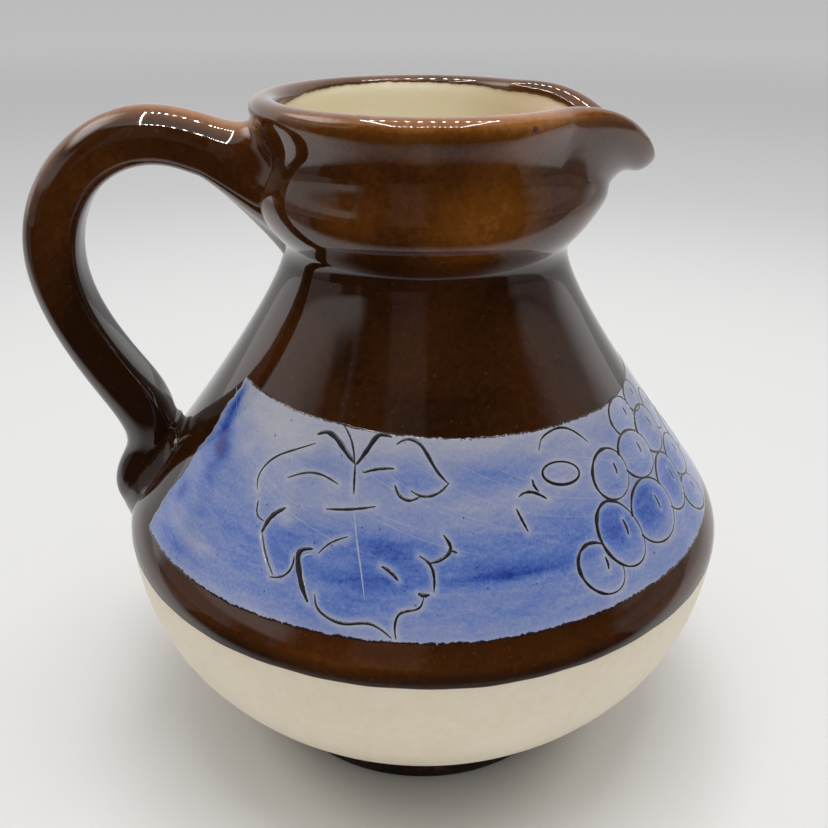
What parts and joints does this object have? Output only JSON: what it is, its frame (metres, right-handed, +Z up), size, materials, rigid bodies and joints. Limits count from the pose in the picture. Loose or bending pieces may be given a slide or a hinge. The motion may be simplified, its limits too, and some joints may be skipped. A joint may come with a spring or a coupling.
{
  "type": "creamer",
  "caption": "Glazed pottery creamer with a round bowl, sloping shoulder, rolled collar, pulled pouring spout and looped handle.",
  "frame": {"origin": "on the jug's axis at the table, the middle of the foot's flat underside", "axes": "+Z up the jug's axis, +X towards the spout, -X towards the handle"},
  "size_m": [0.1121, 0.1004, 0.1079],
  "materials": {
    "clay": "matte",
    "brown_glaze": "gloss",
    "foot_glaze": "satin",
    "cream_glaze": "satin",
    "cobalt_glaze": "gloss"
  },
  "bodies": {
    "root": {"body": "clay", "foot": "foot_glaze", "handle": "brown_glaze", "handle_top_lute": "brown_glaze", "handle_tail_lute": "brown_glaze", "brown_glaze": "brown_glaze", "blue_band": "cobalt_glaze", "bowl_glaze": "cream_glaze", "cream_liner": "cream_glaze"}
  },
  "joints": []
}
